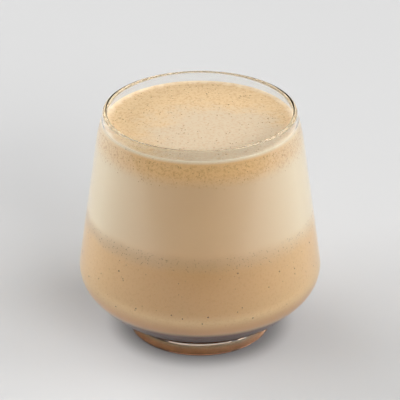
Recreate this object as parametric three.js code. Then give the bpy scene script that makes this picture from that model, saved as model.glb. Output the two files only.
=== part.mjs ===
// Raf coffee in its glass: espresso whipped with cream and sugar, poured into a low tapered tumbler.
// Millimetres, +Z up. The origin is the centre of the underside of the glass.
// Everything is turned about the vertical axis, apart from the fine unevenness of the foam's top.

import * as THREE from "three";

// The tumbler, outside
const HEIGHT = 88;
const BELLY_RADIUS = 45.2; // widest point
const BELLY_HEIGHT = 25.7; // height of the widest point
const BELLY_BEND = 11.5; // radius of the tight turn round the belly
const LOWER_BEND = 44.5; // radius of the flatter curve from the belly down to the foot
const LOWER_START = 0.64; // radians below level, where the tight turn runs into the flatter curve
const TAPER = 0.149; // how much narrower the straight wall gets per millimetre of height
const SHOULDER_HEIGHT = 75; // above here the wall leans in more and more
const SHOULDER_LEAN = 0.0068;
const FOOT_RADIUS = 27;
const FOOT_EDGE = 1.0; // rounding of the foot's lower edge
const FOOT_FILLET = 3.5; // hollow rounding between the foot and the body

// The tumbler, inside
const LIP_WALL = 1.7; // wall at the rim, which is fully rounded
const SIDE_WALL = 2.0; // wall below the lip
const WALL_CHANGE = 20; // height over which the lip's wall grows to the side wall
const BOWL_TOP = 28; // where the inside begins to round towards the floor
const FLOOR_HEIGHT = 12.2; // thick clear base under the middle of the drink
const BOWL_ROUNDING = 2.35; // exponent of the bowl's curve: 2 is an ellipse, more is squarer

// The drink, from the bottom up
const COFFEE_LEVEL = 47.4; // darker coffee below, paler cream above
const CREAM_LEVEL = 71.5; // top of the cream, under the foam
const FOAM_LEVEL = 83.6; // flat top of the foam
const MENISCUS_WIDTH = 2.2; // the foam climbs the wall over this width
const MENISCUS_RISE = 0.5;
const GAP = 0.3; // clearance between pieces that touch

// Unevenness of the foam's top
const RIPPLE_DEPTH = 0.09;
const FOAM_RINGS = 8;
const SAME_LEVEL = 0.001; // stored heights are rounded, so points this near the level are on it

const SEGMENTS = 72;
const LEAN_ANGLE = Math.atan(TAPER);

// Points along an arc from angle a to angle b, ends included
function arc(centre, radius, a, b, steps) {
  const points = [];
  for (let i = 0; i <= steps; i += 1) {
    const angle = a + ((b - a) * i) / steps;
    const x = centre.x + radius * Math.cos(angle);
    const y = centre.y + radius * Math.sin(angle);
    points.push(new THREE.Vector2(x, y));
  }
  return points;
}

// Outside radius of the tapered wall at a height above the belly
function wallRadius(z) {
  const startHeight = BELLY_HEIGHT + BELLY_BEND * Math.sin(LEAN_ANGLE);
  const startRadius = BELLY_RADIUS - BELLY_BEND * (1 - Math.cos(LEAN_ANGLE));
  const above = Math.max(0, z - SHOULDER_HEIGHT);
  return startRadius - TAPER * (z - startHeight) - SHOULDER_LEAN * above * above;
}

// Wall thickness at a height, thinner towards the lip
function wallThickness(z) {
  const share = Math.min(1, Math.max(0, (HEIGHT - z) / WALL_CHANGE));
  return LIP_WALL + (SIDE_WALL - LIP_WALL) * share;
}

// Outside of the glass from the axis, under the foot, up to the lip
function outsideProfile() {
  const belly = new THREE.Vector2(BELLY_RADIUS - BELLY_BEND, BELLY_HEIGHT);
  const lower = new THREE.Vector2(
    belly.x - (LOWER_BEND - BELLY_BEND) * Math.cos(LOWER_START),
    belly.y + (LOWER_BEND - BELLY_BEND) * Math.sin(LOWER_START),
  );
  const fillet = new THREE.Vector2(FOOT_RADIUS + FOOT_FILLET, 0);
  const reach = LOWER_BEND + FOOT_FILLET;
  fillet.y = lower.y - Math.sqrt(reach * reach - (fillet.x - lower.x) ** 2);
  const meet = Math.atan2(fillet.y - lower.y, fillet.x - lower.x);
  const edge = new THREE.Vector2(FOOT_RADIUS - FOOT_EDGE, FOOT_EDGE);

  const points = [new THREE.Vector2(0, 0)];
  points.push(...arc(edge, FOOT_EDGE, -Math.PI / 2, 0, 3));
  points.push(...arc(fillet, FOOT_FILLET, Math.PI, meet + Math.PI, 4));
  points.push(...arc(lower, LOWER_BEND, meet, -LOWER_START, 7).slice(1));
  points.push(...arc(belly, BELLY_BEND, -LOWER_START, LEAN_ANGLE, 7).slice(1));
  const start = points[points.length - 1].y;
  const end = HEIGHT - LIP_WALL / 2;
  const steps = 8;
  for (let i = 1; i <= steps; i += 1) {
    const z = start + ((end - start) * i) / steps;
    points.push(new THREE.Vector2(wallRadius(z), z));
  }
  return points;
}

// Inside of the glass from the lip down to the axis, moved inwards by a clearance
function insideProfile(clearance) {
  const points = [];
  const top = HEIGHT - LIP_WALL / 2;
  const steps = 8;
  for (let i = 0; i <= steps; i += 1) {
    const z = top + ((BOWL_TOP - top) * i) / steps;
    points.push(new THREE.Vector2(wallRadius(z) - wallThickness(z), z));
  }
  const side = points[points.length - 1].x;
  const depth = BOWL_TOP - FLOOR_HEIGHT;
  const turns = 12;
  for (let i = 1; i <= turns; i += 1) {
    const angle = ((Math.PI / 2) * i) / turns;
    const across = i < turns ? Math.cos(angle) ** (2 / BOWL_ROUNDING) : 0;
    const down = Math.sin(angle) ** (2 / BOWL_ROUNDING);
    const lean = TAPER * depth * down * (1 - down) ** 2; // so that the bowl starts along the leaning wall
    points.push(new THREE.Vector2(side * across + lean, BOWL_TOP - depth * down));
  }
  return clearance > 0 ? shrink(points, clearance) : points;
}

// Moves a profile that runs down the wall and in to the axis away from the glass by a distance
function shrink(points, distance) {
  return points.map((point, i) => {
    const before = points[Math.max(0, i - 1)];
    const after = points[Math.min(points.length - 1, i + 1)];
    const along = after.clone().sub(before).normalize();
    const x = i === points.length - 1 ? 0 : point.x + along.y * distance;
    return new THREE.Vector2(x, point.y - along.x * distance);
  });
}

// Radius at a height of a profile that only goes down
function radiusAt(points, z) {
  for (let i = 1; i < points.length; i += 1) {
    const [high, low] = [points[i - 1], points[i]];
    if (z <= high.y && z >= low.y) {
      return THREE.MathUtils.mapLinear(z, low.y, high.y, low.x, high.x);
    }
  }
  throw new Error(`no wall at height ${z}`);
}

// Solid that fills the glass between two heights, its profile running up the axis and back down the wall
function filling(low, high) {
  const wall = insideProfile(GAP);
  const inside = wall.filter((point) => point.y > low + 1 && point.y < high - 1);
  const points = [new THREE.Vector2(0, high), new THREE.Vector2(radiusAt(wall, high), high), ...inside];
  if (low > wall[wall.length - 1].y) {
    points.push(new THREE.Vector2(radiusAt(wall, low), low), new THREE.Vector2(0, low));
  }
  return points.reverse();
}

function turned(profile) {
  return new THREE.LatheGeometry(profile, SEGMENTS);
}

function finish(color, roughness, extra = {}) {
  return new THREE.MeshStandardMaterial({ color, roughness, metalness: 0, ...extra });
}

function named(name, geometry, material) {
  const mesh = new THREE.Mesh(geometry, material);
  mesh.name = name;
  return mesh;
}

// One closed shell of clear glass: outside up, round lip, inside down
function glass() {
  const outside = outsideProfile();
  const lipEnd = outside[outside.length - 1];
  const lip = new THREE.Vector2(lipEnd.x - LIP_WALL / 2, lipEnd.y);
  const profile = [...outside, ...arc(lip, LIP_WALL / 2, 0, Math.PI, 6).slice(1, -1), ...insideProfile(0)];
  return named("glass", turned(profile), finish(0xe4e6e6, 0.05, { transparent: true, opacity: 0.35 }));
}

// Smooth uneven height of the foam at a place on its top, zero on the average
function ripple(x, y) {
  const broad = Math.sin(x * 0.21 + 1.3) * Math.sin(y * 0.17 - 0.4);
  const fine = Math.sin(x * 0.55 - y * 0.31) * Math.sin(y * 0.62 + x * 0.23 + 2.1);
  return RIPPLE_DEPTH * (broad + 0.6 * fine);
}

// Foam between the cream and its own top, which is nearly flat and climbs a little at the wall
function foam() {
  const low = CREAM_LEVEL + GAP;
  const wall = insideProfile(GAP);
  const rim = radiusAt(wall, FOAM_LEVEL + MENISCUS_RISE);
  const profile = filling(low, FOAM_LEVEL + MENISCUS_RISE).slice(0, -1);
  const inner = rim - MENISCUS_WIDTH;
  profile.push(new THREE.Vector2(rim - MENISCUS_WIDTH / 2, FOAM_LEVEL + MENISCUS_RISE / 4));
  for (let i = FOAM_RINGS; i >= 0; i -= 1) {
    profile.push(new THREE.Vector2((inner * i) / FOAM_RINGS, FOAM_LEVEL));
  }
  const geometry = turned(profile);
  const place = geometry.attributes.position;
  for (let i = 0; i < place.count; i += 1) {
    const radius = Math.hypot(place.getX(i), place.getZ(i));
    if (Math.abs(place.getY(i) - FOAM_LEVEL) < SAME_LEVEL) {
      const fade = 1 - THREE.MathUtils.smoothstep(radius, 0.6 * inner, inner);
      place.setY(i, FOAM_LEVEL + fade * ripple(place.getX(i), place.getZ(i)));
    }
  }
  return named("foam", geometry, finish(0xe3cba8, 0.8));
}

function coffee() {
  return named("coffee", turned(filling(0, COFFEE_LEVEL)), finish(0xb8936a, 0.45));
}

function cream() {
  return named("cream", turned(filling(COFFEE_LEVEL + GAP, CREAM_LEVEL)), finish(0xdcc29c, 0.45));
}

// Lathes turn about Y, so the whole drink is stood up along Z
const upright = new THREE.Group();
upright.add(glass(), coffee(), cream(), foam());
upright.rotation.x = Math.PI / 2;

const rafCoffee = new THREE.Group();
rafCoffee.add(upright);

export default rafCoffee;
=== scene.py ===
# Raf coffee in a clear, low, tapered tumbler. Sizes are in millimetres and angles in degrees unless a
# comment says otherwise. +Z is up, and the middle of the foot's underside is the origin.
import math

import bpy
import numpy as np
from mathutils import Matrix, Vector


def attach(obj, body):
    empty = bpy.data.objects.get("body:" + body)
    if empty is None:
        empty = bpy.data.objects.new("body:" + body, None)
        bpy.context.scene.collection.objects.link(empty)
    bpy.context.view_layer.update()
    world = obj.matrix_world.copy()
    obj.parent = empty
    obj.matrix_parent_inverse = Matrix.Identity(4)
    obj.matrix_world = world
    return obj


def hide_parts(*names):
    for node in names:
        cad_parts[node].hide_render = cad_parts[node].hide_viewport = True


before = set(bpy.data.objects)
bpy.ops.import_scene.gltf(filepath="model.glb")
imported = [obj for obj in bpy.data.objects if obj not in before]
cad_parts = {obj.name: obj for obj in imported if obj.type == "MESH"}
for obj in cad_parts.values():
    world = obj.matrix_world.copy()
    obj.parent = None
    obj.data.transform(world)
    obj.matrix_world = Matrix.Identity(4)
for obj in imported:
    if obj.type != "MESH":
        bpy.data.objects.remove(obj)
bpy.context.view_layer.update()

MM = 0.001  # metres in a millimetre

# The tumbler's outside, as the solid has it
HEIGHT = 88
BELLY_RADIUS = 45.2
BELLY_HEIGHT = 25.7
BELLY_BEND = 11.5
LOWER_BEND = 44.5
LOWER_START = 0.64  # radians below level, where the tight turn runs into the flatter curve
TAPER = 0.149
SHOULDER_HEIGHT = 75
SHOULDER_LEAN = 0.0068
FOOT_RADIUS = 27
FOOT_EDGE = 1.0
FOOT_FILLET = 3.5
FOOT_SIDE = 3.4  # where the foot's upright side ends

# Its inside
LIP_WALL = 1.7
SIDE_WALL = 2.0
WALL_CHANGE = 20
BOWL_TOP = 28
FLOOR_HEIGHT = 12.2
BOWL_ROUNDING = 2.35

# The drink
COFFEE_LEVEL = 47.4
CREAM_LEVEL = 71.5
UNDERSIDE_LEVEL = 17.5  # below here the coffee is painted dark, as shade
FOAM_LEVEL = 83.6
MENISCUS_WIDTH = 2.2  # the foam climbs the wall over this width
MENISCUS_RISE = 0.5
RIPPLE_DEPTH = 0.07  # unevenness of the foam's top
INTO_WALL = 0.05  # the drink reaches this far into the glass, so that no air shows between them
LEAN_ANGLE = math.atan(TAPER)  # radians

# How finely profiles and turns are divided
EDGE_STEPS = 8
FILLET_STEPS = 14
BEND_STEPS = 24
WALL_STEPS = 36
LIP_STEPS = 24
INSIDE_STEPS = 40
BOWL_STEPS = 40
GLASS_SEGMENTS = 288
DRINK_SEGMENTS = 192
FOAM_SEGMENTS = 240
FOAM_RINGS = 60
ON_AXIS = 1e-6  # a radius under this is on the axis
LEAST_STEP = 1e-9  # a profile's step counts as at least this high, so that nothing is divided by zero
END_MARGIN = 0.2  # points of the wall this near an end of the drink are left out
SHARP_ANGLE = math.radians(35)  # edges sharper than this are not smoothed over

# Colours as they look on a screen, 0 to 255. Drink seen through glass looks darker than its own colour.
# The paler side colours of cream and coffee are painted light: lit copies of the front colours, standing for
# the light that falls on the drink's sides.
CREAM_FRONT = (231, 196, 154)
CREAM_SIDE_LIT = (253, 239, 213)
COFFEE_FRONT = (216, 175, 126)
COFFEE_SIDE_LIT = (243, 210, 161)
BAND_COLOR = (205, 176, 138)
GRAIN_COLOR = (188, 136, 88)
# The coffee turns redder towards the bottom
LOW_COFFEE_COLOR = (240, 190, 138)
# Painted shade: the dark of the drink's underside
UNDERSIDE_SHADE_COLOR = (112, 58, 28)
CREMA_COLOR = (248, 206, 146)
FOAM_COLOR = (221, 201, 172)
FOAM_GOLD = (235, 202, 154)
FOAM_MOTTLE = (206, 162, 116)
# Painted light: the pale foam edge at the glass, lit by light coming through the wall
FOAM_EDGE_LIGHT = (254, 240, 216)
SPECK_COLOR = (132, 94, 60)
BUBBLE_COLOR = (208, 158, 100)
PINHOLE_COLOR = (170, 122, 74)
FLOOR_COLOR = (208, 208, 208)
# Painted shadow on the floor, close round the glass and under it
CONTACT_SHADOW_COLOR = (150, 148, 148)
UNDER_SHADOW_COLOR = (96, 66, 44)

# Linear colours with alpha
GLASS_COLOR = (0.985, 0.995, 0.99, 1)
DEPTH_COLOR = (0.47, 0.45, 0.39, 1)  # what a long way through the glass lets pass
FOOT_PAINTED_LIGHT = (1.0, 0.46, 0.28, 1)  # painted light: the foot carries the amber light of the drink above it
# Painted shade: darker amber at the foot's lower edge
FOOT_EDGE_PAINTED_SHADE = (0.40, 0.16, 0.09, 1)
BACKGROUND_COLOR = (0.74, 0.74, 0.74, 1)
BLACK = (0, 0, 0, 1)

# Surfaces
GLASS_IOR = 1.5
DEPTH_DENSITY = 30.0  # per metre
WET_IOR = 1.34 / GLASS_IOR  # the drink touches the glass, so it mirrors light only at a glancing angle
FOAM_IOR = 1.33
WET_ROUGHNESS = 0.3
UNDERSIDE_ROUGHNESS = 0.8
FOAM_ROUGHNESS = 0.7
SPECK_ROUGHNESS = 0.6
FLOOR_ROUGHNESS = 0.9
FLOOR_SPECULAR = 0.2
GLASS_BUMP = {"Strength": 0.02, "Distance": 0.001}  # the distance is in metres
FOAM_BUMP = {"Strength": 0.4, "Distance": 0.0003}

# Heights between which a look sets in: at the first there is none of it, at the second all of it
FOOT_LIGHT_CHANGE = (FOOT_SIDE + 0.1, FOOT_SIDE - 0.6)
FOOT_EDGE_SHADE_CHANGE = (1.8, 0.4)
# Painted shade on the drink's underside
UNDERSIDE_SHADE_CHANGE = (19.2, 16.8)
LOW_COFFEE_CHANGE = (25.0, 19.5)
LAYER_CHANGE = (41.5, 51.5)
BAND_START = (42.0, 46.0)
BAND_END = (50.5, 46.5)
BUBBLY_START = (72.0, 80.0)
BUBBLY_END = (83.5, 81.5)
CREMA_CHANGE = (73.5, 79.5)
# Painted light at the foam's top edge
EDGE_LIGHT_CHANGE = (82.6, 84.0)

# Noises, as scale to a millimetre, detail and roughness
GLASS_WAVE = (0.06, 1.0)
DRIFT = (0.11, 2.0)
COFFEE_GRAIN = (1.2, 2.0, 0.7)
SIDE_GRAIN = (1.1, 2.0, 0.7)
GOLD_PATCHES = (0.09, 3.0, 0.6)
TOP_GRAIN = (0.9, 3.0, 0.75)
EDGE_LIGHT_PATCHES = (0.3, 2.0)
TOP_ROUGH = (1.6, 3.0, 0.6)
SPECK_PATCHES = (0.8, 1.0)
FLOOR_PATCHES = (0.01, 2.0)

# Ranges of a noise, a distance or Facing that turn one look into the next, and the shares they give
# Painted side light: the Facing over which the drink takes its paler side colours
SIDE_LIGHT_FACING = (0.01, 0.22)
# Painted side light: the Facing over which the crema fades
CREMA_SIDE_LIGHT_FACING = (0.03, 0.30)
CREMA_SHARES = (0.8, 0.25)
BAND_ACROSS = (30.0, 0.0)
BAND_SHARES = (0.08, 0.38)
COFFEE_GRAIN_RANGE = (0.48, 0.72)
COFFEE_GRAIN_SHARES = (0.0, 0.20)
SIDE_GRAIN_RANGE = (0.45, 0.70)
SIDE_GRAIN_SHARE = 0.50
TOP_GRAIN_RANGE = (0.46, 0.66)
TOP_GRAIN_SHARES = (0.42, 0.60)
DRIFT_HEIGHT = 3.0  # the layers' boundary wanders up and down within this height
PALE_PLACE = (6, -14, FOAM_LEVEL)  # the palest place on the foam
GOLD_RANGE = (17.0, 34.0)
GOLD_WANDER = 26.0
GOLD_SHARE = 0.85
# Painted light: the pale ring of the foam's top at the glass
EDGE_LIGHT_RANGE = (33.5, 38.0)
EDGE_LIGHT_WANDER = 4.0
EDGE_LIGHT_SHARE = 0.8
SPECK_DARKEST = 0.8  # a speck's darkest tone, as a share of its colour
FLOOR_VARIATION = 2  # steps of screen colour

# Where painted shadow darkens the floor
UNDER_SHADOW_RANGE = (25.6, 26.8)
CONTACT_SHADOW_RANGE = (26.5, 37.0)
FLOOR_FRONT = -265  # the glass mirrors the table top up to here, where a dark room would begin
FLOOR_FADE = -165

# Specks at the wall. A zone is the two heights that they lie between, and their smallest and largest radius.
RANDOM_SEED = 7
LOOSE_SPECKS = 110
LOOSE_SPECK_ZONE = (24, 44, 0.12, 0.34)
BAND_SPECKS = 1100
BAND_SPECK_ZONE = (43.5, 49, 0.05, 0.16)
BUBBLES = 2000
BUBBLE_ZONE = (82.2, 73.5, 0.05, 0.18)
BUBBLE_SKEW = 2.0  # more than 1 gathers the bubbles near the zone's first height
SLOPE_REACH = 0.5  # the wall's slope is taken this far above and below a place
BEAD_THICKNESS = 0.02
BEAD_ROWS = 3
BEAD_SIDES = 8

# Pinholes in the foam's top
PINHOLES = 1100
PINHOLE_REACH = 35.5
PINHOLE_SPREAD = 0.4  # under 0.5 brings more of them near the glass
PINHOLE_SIZE = 0.06
PINHOLE_GROWTH = 0.24
GATHERED = [(-29, 1), (-10, 6), (-7, -12), (-8, -27), (26, 2), (4, 27), (17, 20)]  # where they gather
GATHERED_PINHOLES = 16
GATHERED_WIDTH = 1.5
GATHERED_SIZE = 0.08

# The table top, in metres
TABLE_DROP = 0.0002
TABLE_FRONT = -1.2
TABLE_SIDE = 1.2
TABLE_BACK = 1.5

# The camera, with its place in metres
CAMERA_PLACE = (0, -0.6164, 0.3721)
CAMERA_TILT = 27.51  # below level
SENSOR_WIDTH = 36
FOCAL_LENGTH = 169.1
CLIP_START = 0.01  # metres

# Soft boxes, as name, azimuth from the front round to the right, elevation, size in metres and radiance
LAMP_DISTANCE = 3.0  # metres
LAMP_TARGET = (0, 0, 0.04)  # metres
LIGHTS = [
    ("back_left", 225, 14, (2.2, 1.2), 6.2),
    ("right", 90, 14, (2.2, 1.2), 7.3),
    ("left", 270, 14, (2.2, 1.2), 8.8),
    ("front_right", 36, 24, (2.2, 1.1), 9.0),
    ("front_left", 300, 24, (2.2, 1.1), 0.8),
    ("high_right", 60, 64, (2.2, 1.4), 1.5),
    ("middle_left", 225, 40, (2.2, 1.4), 2.0),
    ("middle_right", 90, 40, (2.2, 1.4), 1.2),
    ("high_left", 300, 64, (2.2, 1.4), 0.6),
    ("backdrop", 180, 12, (2.0, 1.2), 2.6),
]


def screen(rgb):
    """Linear colour with alpha for a colour given as it looks on a screen, 0 to 255."""
    linear = [((c / 255 + 0.055) / 1.055) ** 2.4 for c in rgb]
    return (*linear, 1.0)


# Profiles, as lists of (radius, height)

def arc(centre, radius, start, end, steps):
    turns = [start + (end - start) * i / steps for i in range(steps + 1)]
    return [(centre[0] + radius * math.cos(a), centre[1] + radius * math.sin(a)) for a in turns]


def wall_radius(z):
    """Outside radius of the tapered wall at a height above the belly."""
    start_height = BELLY_HEIGHT + BELLY_BEND * math.sin(LEAN_ANGLE)
    start_radius = BELLY_RADIUS - BELLY_BEND * (1 - math.cos(LEAN_ANGLE))
    above = max(0, z - SHOULDER_HEIGHT)
    return start_radius - TAPER * (z - start_height) - SHOULDER_LEAN * above * above


def wall_thickness(z):
    share = min(1, max(0, (HEIGHT - z) / WALL_CHANGE))
    return LIP_WALL + (SIDE_WALL - LIP_WALL) * share


def outside_profile():
    """From the axis, under the foot and up the outside to the lip."""
    belly = (BELLY_RADIUS - BELLY_BEND, BELLY_HEIGHT)
    inset = LOWER_BEND - BELLY_BEND
    lower = (belly[0] - inset * math.cos(LOWER_START), belly[1] + inset * math.sin(LOWER_START))
    across = FOOT_RADIUS + FOOT_FILLET
    reach = LOWER_BEND + FOOT_FILLET
    fillet = (across, lower[1] - math.sqrt(reach**2 - (across - lower[0]) ** 2))
    meet = math.atan2(fillet[1] - lower[1], fillet[0] - lower[0])
    edge = (FOOT_RADIUS - FOOT_EDGE, FOOT_EDGE)
    points = [(0, 0)]
    points += arc(edge, FOOT_EDGE, -math.pi / 2, 0, EDGE_STEPS)
    points += arc(fillet, FOOT_FILLET, math.pi, meet + math.pi, FILLET_STEPS)
    points += arc(lower, LOWER_BEND, meet, -LOWER_START, BEND_STEPS)[1:]
    points += arc(belly, BELLY_BEND, -LOWER_START, LEAN_ANGLE, BEND_STEPS)[1:]
    start = points[-1][1]
    end = HEIGHT - LIP_WALL / 2
    heights = [start + (end - start) * i / WALL_STEPS for i in range(1, WALL_STEPS + 1)]
    return points + [(wall_radius(z), z) for z in heights]


def inside_profile():
    """From the lip down the inside to the axis."""
    top = HEIGHT - LIP_WALL / 2
    heights = [top + (BOWL_TOP - top) * i / INSIDE_STEPS for i in range(INSIDE_STEPS + 1)]
    points = [(wall_radius(z) - wall_thickness(z), z) for z in heights]
    side = points[-1][0]
    depth = BOWL_TOP - FLOOR_HEIGHT
    for i in range(1, BOWL_STEPS + 1):
        angle = math.pi / 2 * i / BOWL_STEPS
        across = math.cos(angle) ** (2 / BOWL_ROUNDING) if i < BOWL_STEPS else 0
        down = math.sin(angle) ** (2 / BOWL_ROUNDING)
        lean = TAPER * depth * down * (1 - down) ** 2  # so that the bowl starts along the leaning wall
        points.append((side * across + lean, BOWL_TOP - depth * down))
    return points


def pushed_out(points, distance):
    """A profile that runs down the wall and in to the axis, moved towards the glass."""
    moved = []
    for i, (r, z) in enumerate(points):
        r0, z0 = points[max(0, i - 1)]
        r1, z1 = points[min(len(points) - 1, i + 1)]
        length = math.hypot(r1 - r0, z1 - z0)
        out = (-(z1 - z0) / length, (r1 - r0) / length)
        moved.append((0 if i == len(points) - 1 else r + out[0] * distance, z + out[1] * distance))
    return moved


def radius_at(points, z):
    """Radius at a height of a profile that only goes down."""
    for (r_high, high), (r_low, low) in zip(points[:-1], points[1:]):
        if low <= z <= high:
            return r_low + (r_high - r_low) * (z - low) / max(high - low, LEAST_STEP)
    raise ValueError(f"no wall at height {z}")


def filling(low, high):
    """Profile of the drink between two heights, just into the wall."""
    wall = pushed_out(inside_profile(), INTO_WALL)
    inside = [p for p in wall if low + END_MARGIN < p[1] < high - END_MARGIN]
    profile = [(0, high), (radius_at(wall, high), high)] + inside
    if low > FLOOR_HEIGHT:
        profile += [(radius_at(wall, low), low), (0, low)]
    return profile[::-1]


# Meshes

def turned(name, profile, segments):
    """A closed solid turned from a profile that starts and ends on the axis."""
    verts, rows, faces = [], [], []
    angles = [2 * math.pi * k / segments for k in range(segments)]
    for r, z in profile:
        if r < ON_AXIS:
            rows.append([len(verts)] * segments)
            verts.append((0, 0, z * MM))
        else:
            rows.append(list(range(len(verts), len(verts) + segments)))
            verts += [(r * math.cos(a) * MM, r * math.sin(a) * MM, z * MM) for a in angles]
    for low, high in zip(rows[:-1], rows[1:]):
        for k in range(segments):
            j = (k + 1) % segments
            ring = [low[k], low[j], high[j], high[k]]
            corners = list(dict.fromkeys(ring))
            if len(corners) > 2:
                faces.append(corners)
    return mesh_object(name, verts, faces)


def mesh_object(name, verts, faces, smooth=True):
    mesh = bpy.data.meshes.new(name)
    mesh.from_pydata([tuple(v) for v in verts], [], [tuple(f) for f in faces])
    mesh.update()
    mesh.polygons.foreach_set("use_smooth", [smooth] * len(mesh.polygons))
    mesh.set_sharp_from_angle(angle=SHARP_ANGLE)
    piece = bpy.data.objects.new(name, mesh)
    bpy.context.scene.collection.objects.link(piece)
    return piece


def dress(piece, material, slot, *nodes):
    """Gives a piece its material and its body, and hides the solids that it stands for. The finish named by
    slot is not used.
    """
    piece.data.materials.append(material)
    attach(piece, "root")
    if nodes:
        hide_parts(*nodes)


# Materials

class Tree:
    """Short names for building a material's nodes."""

    def __init__(self, name):
        self.material = bpy.data.materials.new(name)
        self.material.use_nodes = True
        self.tree = self.material.node_tree
        self.shader = self.tree.nodes["Principled BSDF"]
        self.output = self.tree.nodes["Material Output"]

    def node(self, kind, inputs=None, **settings):
        made = self.tree.nodes.new("ShaderNode" + kind)
        for key, value in settings.items():
            setattr(made, key, value)
        for key, value in (inputs or {}).items():
            self.feed(made.inputs[key], value)
        return made

    def feed(self, socket, value):
        if isinstance(value, bpy.types.NodeSocket):
            self.tree.links.new(value, socket)
        else:
            socket.default_value = value

    def shade(self, **inputs):
        for key, value in inputs.items():
            self.feed(self.shader.inputs[key.replace("_", " ")], value)

    def math(self, operation, a, b):
        return self.node("Math", {0: a, 1: b}, operation=operation).outputs[0]

    def ramp(self, value, low, high, out_low=0.0, out_high=1.0, kind="SMOOTHSTEP"):
        inputs = {"Value": value, "From Min": low, "From Max": high, "To Min": out_low, "To Max": out_high}
        return self.node("MapRange", inputs, interpolation_type=kind).outputs[0]

    def mix(self, share, a, b):
        return self.node("Mix", {0: share, 6: a, 7: b}, data_type="RGBA").outputs[2]

    def noise(self, place, scale, detail=2.0, roughness=0.5):
        inputs = {"Vector": place, "Scale": scale, "Detail": detail, "Roughness": roughness}
        return self.node("TexNoise", inputs).outputs["Fac"]

    def wander(self, noise, size):
        """A noise turned into a value that swings about zero."""
        return self.math("MULTIPLY", self.math("SUBTRACT", noise, 0.5), size)

    def bump(self, height, settings):
        return self.node("Bump", {"Height": height, **settings}).outputs[0]

    def axis_value(self, place, axis):
        return self.node("SeparateXYZ", {0: place}).outputs[axis]

    def place(self):
        """Position in the object in millimetres, with its height apart."""
        coords = self.node("TexCoord").outputs["Object"]
        scaled = self.node("VectorMath", {0: coords, "Scale": 1 / MM}, operation="SCALE").outputs[0]
        return scaled, self.axis_value(scaled, "Z")


def glass_material():
    """Clear, faintly wavy glass, which only a long way through it makes a warm grey. Its foot is painted
    amber as light from the drink, and darker at its lower edge as painted shade.
    """
    t = Tree("clear_glass")
    place, height = t.place()
    bump = t.bump(t.noise(place, *GLASS_WAVE), GLASS_BUMP)
    # painted light and shade: the foot's colour turns amber, and darker amber at its lower edge
    clear = t.mix(t.ramp(height, *FOOT_LIGHT_CHANGE), GLASS_COLOR, FOOT_PAINTED_LIGHT)
    clear = t.mix(t.ramp(height, *FOOT_EDGE_SHADE_CHANGE), clear, FOOT_EDGE_PAINTED_SHADE)
    t.shade(Base_Color=clear, Roughness=0.0, IOR=GLASS_IOR, Transmission_Weight=1.0, Normal=bump)
    depth = t.node("VolumeAbsorption", {"Color": DEPTH_COLOR, "Density": DEPTH_DENSITY})
    t.tree.links.new(depth.outputs[0], t.output.inputs["Volume"])
    return t.material


def drink_color(t, place, height):
    """Colour of the drink at the glass: coffee, redder low down and painted dark as shade on its underside,
    a speckled darker band, cream and crema, with a pale top edge that is painted light.
    It is paler, and the crema is fainter, where the surface turns away from the eye: painted light from the
    sides."""
    facing = t.node("LayerWeight", {"Blend": 0.5}).outputs["Facing"]
    # painted light: the drink turns to its paler side colours as the surface turns away from the eye
    side = t.ramp(facing, *SIDE_LIGHT_FACING, kind="LINEAR")
    wavy = t.math("ADD", height, t.wander(t.noise(place, *DRIFT), DRIFT_HEIGHT))
    cream = t.mix(side, screen(CREAM_FRONT), screen(CREAM_SIDE_LIT))
    coffee = t.mix(side, screen(COFFEE_FRONT), screen(COFFEE_SIDE_LIT))
    grain = t.ramp(t.noise(place, *COFFEE_GRAIN), *COFFEE_GRAIN_RANGE, *COFFEE_GRAIN_SHARES)
    coffee = t.mix(grain, coffee, screen(GRAIN_COLOR))
    # the coffee turns redder towards the bottom
    coffee = t.mix(t.ramp(height, *LOW_COFFEE_CHANGE), coffee, screen(LOW_COFFEE_COLOR))
    # painted shade: the drink's underside turns dark
    coffee = t.mix(t.ramp(height, *UNDERSIDE_SHADE_CHANGE), coffee, screen(UNDERSIDE_SHADE_COLOR))
    body = t.mix(t.ramp(wavy, *LAYER_CHANGE), coffee, cream)
    in_band = t.math("MULTIPLY", t.ramp(wavy, *BAND_START), t.ramp(wavy, *BAND_END))
    across = t.ramp(t.axis_value(place, "X"), *BAND_ACROSS, *BAND_SHARES)
    body = t.mix(t.math("MULTIPLY", in_band, across), body, screen(BAND_COLOR))
    # the crema's colour is its own; its fading where the surface turns away is painted side light
    crema = t.math("MULTIPLY", t.ramp(height, *CREMA_CHANGE), t.ramp(facing, *CREMA_SIDE_LIGHT_FACING, *CREMA_SHARES))
    body = t.mix(crema, body, screen(CREMA_COLOR))
    # painted light: the foam's top edge at the glass turns pale
    return t.mix(t.ramp(height, *EDGE_LIGHT_CHANGE), body, screen(FOAM_EDGE_LIGHT))


def drink_material(name):
    t = Tree(name)
    place, height = t.place()
    t.shade(Base_Color=drink_color(t, place, height), Roughness=WET_ROUGHNESS, IOR=WET_IOR)
    return t.material


def underside_material():
    """The drink's underside, painted dark as shade, which the thick base shows from below."""
    t = Tree("coffee_underside_shade")
    place, height = t.place()
    color = drink_color(t, place, height)
    t.shade(Base_Color=color, Roughness=UNDERSIDE_ROUGHNESS, Specular_IOR_Level=0.0)
    return t.material


def foam_side_material():
    """The drink's colour, with the grain of fine bubbles near the top."""
    t = Tree("foam_side")
    place, height = t.place()
    body = drink_color(t, place, height)
    near_top = t.math("MULTIPLY", t.ramp(height, *BUBBLY_START), t.ramp(height, *BUBBLY_END))
    grain = t.ramp(t.noise(place, *SIDE_GRAIN), *SIDE_GRAIN_RANGE)
    spots = t.math("MULTIPLY", t.math("MULTIPLY", grain, near_top), SIDE_GRAIN_SHARE)
    color = t.mix(spots, body, screen(BUBBLE_COLOR))
    t.shade(Base_Color=color, Roughness=WET_ROUGHNESS, IOR=WET_IOR)
    return t.material


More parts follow.
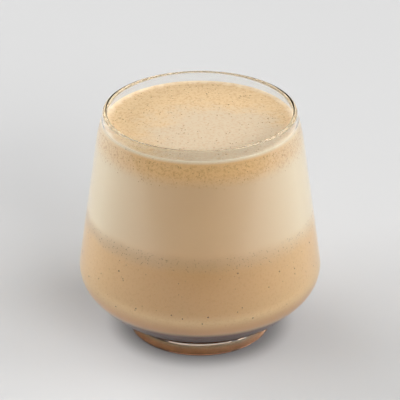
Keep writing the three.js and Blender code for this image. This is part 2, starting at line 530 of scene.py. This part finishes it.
def foam_top_material():
    """Pale towards the front, golden towards the sides and the back, mottled all over, with a pale ring at
    the glass that is painted light.
    """
    t = Tree("foam_top")
    place, _ = t.place()
    distance = t.node("VectorMath", {0: place, 1: PALE_PLACE}, operation="DISTANCE").outputs["Value"]
    patchy = t.wander(t.noise(place, *GOLD_PATCHES), GOLD_WANDER)
    golden = t.ramp(t.math("ADD", distance, patchy), *GOLD_RANGE)
    top = t.mix(t.math("MULTIPLY", golden, GOLD_SHARE), screen(FOAM_COLOR), screen(FOAM_GOLD))
    grain = t.ramp(t.noise(place, *TOP_GRAIN), *TOP_GRAIN_RANGE)
    share = t.math("MULTIPLY", grain, t.ramp(golden, 0.0, 1.0, *TOP_GRAIN_SHARES))
    top = t.mix(share, top, screen(FOAM_MOTTLE))
    # painted light: a pale ring where the foam meets the glass, lit through the wall
    level = t.node("VectorMath", {0: place, 1: (1, 1, 0)}, operation="MULTIPLY").outputs[0]
    radius = t.node("VectorMath", {0: level}, operation="LENGTH").outputs["Value"]
    uneven = t.math("MULTIPLY", t.noise(place, *EDGE_LIGHT_PATCHES), EDGE_LIGHT_WANDER)
    edge_light = t.ramp(t.math("ADD", radius, uneven), *EDGE_LIGHT_RANGE)
    top = t.mix(t.math("MULTIPLY", edge_light, EDGE_LIGHT_SHARE), top, screen(FOAM_EDGE_LIGHT))
    bump = t.bump(t.noise(place, *TOP_ROUGH), FOAM_BUMP)
    t.shade(Base_Color=top, Roughness=FOAM_ROUGHNESS, IOR=FOAM_IOR, Normal=bump)
    return t.material


def speck_material(name, rgb):
    t = Tree(name)
    place, _ = t.place()
    dark = screen([c * SPECK_DARKEST for c in rgb])
    shade = t.mix(t.noise(place, *SPECK_PATCHES), screen(rgb), dark)
    t.shade(Base_Color=shade, Roughness=SPECK_ROUGHNESS)
    return t.material


def floor_material():
    """Pale, with painted shadow right under the glass and close round it. Far in front it is black for all
    but the camera's own view, so that the glass mirrors a darker middle."""
    t = Tree("floor")
    place, _ = t.place()
    light = screen([c + FLOOR_VARIATION for c in FLOOR_COLOR])
    pale = t.mix(t.noise(place, *FLOOR_PATCHES), screen(FLOOR_COLOR), light)
    away = t.node("VectorMath", {0: place}, operation="LENGTH").outputs["Value"]
    # painted shadow under the glass and close round it
    shadow = t.mix(t.ramp(away, *UNDER_SHADOW_RANGE), screen(UNDER_SHADOW_COLOR), screen(CONTACT_SHADOW_COLOR))
    floor = t.mix(t.ramp(away, *CONTACT_SHADOW_RANGE), shadow, pale)
    near = t.ramp(t.axis_value(place, "Y"), FLOOR_FRONT, FLOOR_FADE)
    seen = t.node("LightPath").outputs["Is Camera Ray"]
    floor = t.mix(t.math("MAXIMUM", seen, near), BLACK, floor)
    t.shade(Base_Color=floor, Roughness=FLOOR_ROUGHNESS, Specular_IOR_Level=FLOOR_SPECULAR)
    return t.material


# The pieces

def make_glass():
    outside = outside_profile()
    lip = (outside[-1][0] - LIP_WALL / 2, outside[-1][1])
    profile = outside + arc(lip, LIP_WALL / 2, 0, math.pi, LIP_STEPS)[1:-1] + inside_profile()
    dress(turned("tumbler", profile, GLASS_SEGMENTS), glass_material(), "clear_glass", "glass")


def make_drink():
    coffee = turned("coffee_layer", filling(0, COFFEE_LEVEL), DRINK_SEGMENTS)
    dress(coffee, drink_material("coffee_layer"), "coffee", "coffee")
    coffee.data.materials.append(underside_material())
    for face in coffee.data.polygons:
        if face.center.z < UNDERSIDE_LEVEL * MM:
            face.material_index = 1
    cream = turned("cream_layer", filling(COFFEE_LEVEL, CREAM_LEVEL), DRINK_SEGMENTS)
    dress(cream, drink_material("cream_layer"), "cream", "cream")


def foam_relief(x, y):
    """Uneven height of the foam's top over its flat level."""
    broad = np.sin(x * 0.21 + 1.3) * np.sin(y * 0.17 - 0.4)
    fine = np.sin(x * 0.55 - y * 0.31) * np.sin(y * 0.62 + x * 0.23 + 2.1)
    return RIPPLE_DEPTH * (broad + 0.6 * fine)


def foam_top(angles):
    """Points and faces of the foam's top, in rings from its middle out to the wall."""
    wall = pushed_out(inside_profile(), INTO_WALL)
    rim = radius_at(wall, FOAM_LEVEL + MENISCUS_RISE)
    radii = rim * np.linspace(0, 1, FOAM_RINGS + 1)[1:]
    ring, angle = np.meshgrid(radii, angles, indexing="ij")
    x, y = (ring * np.cos(angle)).ravel(), (ring * np.sin(angle)).ravel()
    climb = np.clip(1 - (rim - ring.ravel()) / MENISCUS_WIDTH, 0, 1) ** 2
    z = FOAM_LEVEL + foam_relief(x, y) * (1 - climb) + MENISCUS_RISE * climb
    middle = FOAM_LEVEL + float(foam_relief(0.0, 0.0))
    verts = [(0, 0, middle * MM)] + list(zip(x * MM, y * MM, z * MM))
    faces = [(0, 1 + k, 1 + (k + 1) % FOAM_SEGMENTS) for k in range(FOAM_SEGMENTS)]
    for i in range(FOAM_RINGS - 1):
        a, b = 1 + i * FOAM_SEGMENTS, 1 + (i + 1) * FOAM_SEGMENTS
        for k in range(FOAM_SEGMENTS):
            j = (k + 1) % FOAM_SEGMENTS
            faces.append((a + k, b + k, b + j, a + j))
    return verts, faces


def make_foam():
    angles = np.linspace(0, 2 * math.pi, FOAM_SEGMENTS, endpoint=False)
    verts, faces = foam_top(angles)
    top_faces = len(faces)
    last = 1 + (FOAM_RINGS - 1) * FOAM_SEGMENTS
    for r, height in filling(CREAM_LEVEL, FOAM_LEVEL + MENISCUS_RISE)[1:-2][::-1]:
        start = len(verts)
        verts += [(r * math.cos(a) * MM, r * math.sin(a) * MM, height * MM) for a in angles]
        for k in range(FOAM_SEGMENTS):
            j = (k + 1) % FOAM_SEGMENTS
            faces.append((last + k, start + k, start + j, last + j))
        last = start
    faces.append(tuple(last + k for k in reversed(range(FOAM_SEGMENTS))))
    foam = mesh_object("foam_layer", verts, faces)
    dress(foam, foam_side_material(), "foam", "foam")
    foam.data.materials.append(foam_top_material())
    for face in foam.data.polygons[:top_faces]:
        face.material_index = 1


# Bubbles, specks and pinholes

def beads(name, places, color, slot):
    """One mesh of many small flattened balls. A place is (centre, outward direction, radius)."""
    verts, faces = [], []
    for centre, out, radius in places:
        out = Vector(out).normalized()
        across = out.orthogonal().normalized()
        along = out.cross(across)
        start = len(verts)
        verts.append(Vector(centre) + out * BEAD_THICKNESS)
        for i in range(1, BEAD_ROWS + 1):
            tilt = math.pi / 2 * i / BEAD_ROWS
            for k in range(BEAD_SIDES):
                turn = 2 * math.pi * k / BEAD_SIDES
                flat = across * math.cos(turn) + along * math.sin(turn)
                rise = out * BEAD_THICKNESS * math.cos(tilt)
                verts.append(Vector(centre) + flat * radius * math.sin(tilt) + rise)
        verts.append(Vector(centre) - out * BEAD_THICKNESS)
        for k in range(BEAD_SIDES):
            j = (k + 1) % BEAD_SIDES
            faces.append((start, start + 1 + k, start + 1 + j))
            for i in range(BEAD_ROWS - 1):
                a, b = start + 1 + i * BEAD_SIDES, start + 1 + (i + 1) * BEAD_SIDES
                faces.append((a + k, b + k, b + j, a + j))
            low = start + 1 + (BEAD_ROWS - 1) * BEAD_SIDES
            faces.append((low + k, len(verts) - 1, low + j))
    piece = mesh_object(name, [v * MM for v in verts], faces)
    dress(piece, speck_material(name, color), slot)


def on_wall(rng, low, high, smallest, largest, skew=1.0):
    """Place of a speck in the drink where it meets the glass. Most specks are near the smallest size."""
    wall = pushed_out(inside_profile(), INTO_WALL)
    z = low + (high - low) * rng.random() ** skew
    turn = 2 * math.pi * rng.random()
    r = radius_at(wall, z)
    slope = radius_at(wall, z + SLOPE_REACH) - radius_at(wall, z - SLOPE_REACH)
    out = (math.cos(turn), math.sin(turn), -slope)
    size = smallest + (largest - smallest) * rng.random() ** 2
    return (r * math.cos(turn), r * math.sin(turn), z), out, size


def on_foam(x, y, size):
    return (x, y, FOAM_LEVEL + float(foam_relief(x, y))), (0, 0, 1), size


def pinhole_places(rng):
    """Pinholes all over the foam's top, most of them small, and then those that gather."""
    holes = []
    for _ in range(PINHOLES):
        radius = PINHOLE_REACH * rng.random() ** PINHOLE_SPREAD
        turn = 2 * math.pi * rng.random()
        size = PINHOLE_SIZE + PINHOLE_GROWTH * rng.random() ** 4
        holes.append(on_foam(radius * math.cos(turn), radius * math.sin(turn), size))
    for x, y in GATHERED:
        for _ in range(GATHERED_PINHOLES):
            dx, dy = rng.normal(0, GATHERED_WIDTH, 2)
            size = GATHERED_SIZE + PINHOLE_GROWTH * rng.random() ** 2
            holes.append(on_foam(x + dx, y + dy, size))
    return holes


def make_specks():
    rng = np.random.default_rng(RANDOM_SEED)
    specks = [on_wall(rng, *LOOSE_SPECK_ZONE) for _ in range(LOOSE_SPECKS)]
    specks += [on_wall(rng, *BAND_SPECK_ZONE) for _ in range(BAND_SPECKS)]
    beads("coffee_specks", specks, SPECK_COLOR, "coffee")
    bubbles = [on_wall(rng, *BUBBLE_ZONE, skew=BUBBLE_SKEW) for _ in range(BUBBLES)]
    beads("foam_bubbles", bubbles, BUBBLE_COLOR, "foam")
    beads("pinholes", pinhole_places(rng), PINHOLE_COLOR, "foam")


# Floor, light and camera

def make_floor():
    """The table top that the glass stands on."""
    left, right, front, back = -TABLE_SIDE, TABLE_SIDE, TABLE_FRONT, TABLE_BACK
    corners = [(x, y, -TABLE_DROP) for x, y in ((left, front), (right, front), (right, back), (left, back))]
    floor = mesh_object("floor", corners, [(0, 1, 2, 3)], smooth=False)
    floor.data.materials.append(floor_material())


def soft_light(name, azimuth, elevation, size, radiance):
    turn, rise = math.radians(azimuth), math.radians(elevation)
    level = LAMP_DISTANCE * math.cos(rise)
    height = LAMP_DISTANCE * math.sin(rise)
    place = Vector(LAMP_TARGET) + Vector((level * math.sin(turn), -level * math.cos(turn), height))
    light = bpy.data.lights.new(name, "AREA")
    light.shape = "RECTANGLE"
    light.size, light.size_y = size
    light.energy = radiance * math.pi * size[0] * size[1]
    lamp = bpy.data.objects.new(name, light)
    bpy.context.scene.collection.objects.link(lamp)
    lamp.location = place
    lamp.rotation_mode = "QUATERNION"
    lamp.rotation_quaternion = (Vector(LAMP_TARGET) - place).to_track_quat("-Z", "Y")
    lamp.visible_camera = False
    lamp.visible_glossy = False


def make_light():
    """Soft boxes, and a pale background that is seen but gives no light."""
    world = bpy.data.worlds.new("studio")
    world.use_nodes = True
    back = world.node_tree.nodes["Background"]
    back.inputs["Color"].default_value = BACKGROUND_COLOR
    bpy.context.scene.world = world
    seen = world.cycles_visibility
    seen.diffuse = seen.glossy = seen.transmission = seen.scatter = False
    for light in LIGHTS:
        soft_light(*light)


def make_camera():
    lens = bpy.data.cameras.new("camera")
    camera = bpy.data.objects.new("camera", lens)
    bpy.context.scene.collection.objects.link(camera)
    camera.location = CAMERA_PLACE
    camera.rotation_euler = (math.pi / 2 - math.radians(CAMERA_TILT), 0, 0)
    lens.sensor_width = SENSOR_WIDTH
    lens.lens = FOCAL_LENGTH
    lens.clip_start = CLIP_START
    bpy.context.scene.camera = camera


def set_render():
    scene = bpy.context.scene
    scene.view_settings.view_transform = "Standard"
    scene.cycles.use_denoising = True
    scene.cycles.max_bounces = 24
    scene.cycles.diffuse_bounces = 8
    scene.cycles.transmission_bounces = 16
    scene.cycles.glossy_bounces = 6
    scene.cycles.transparent_max_bounces = 12


make_camera()
make_floor()
make_light()
make_glass()
make_drink()
make_foam()
make_specks()
set_render()
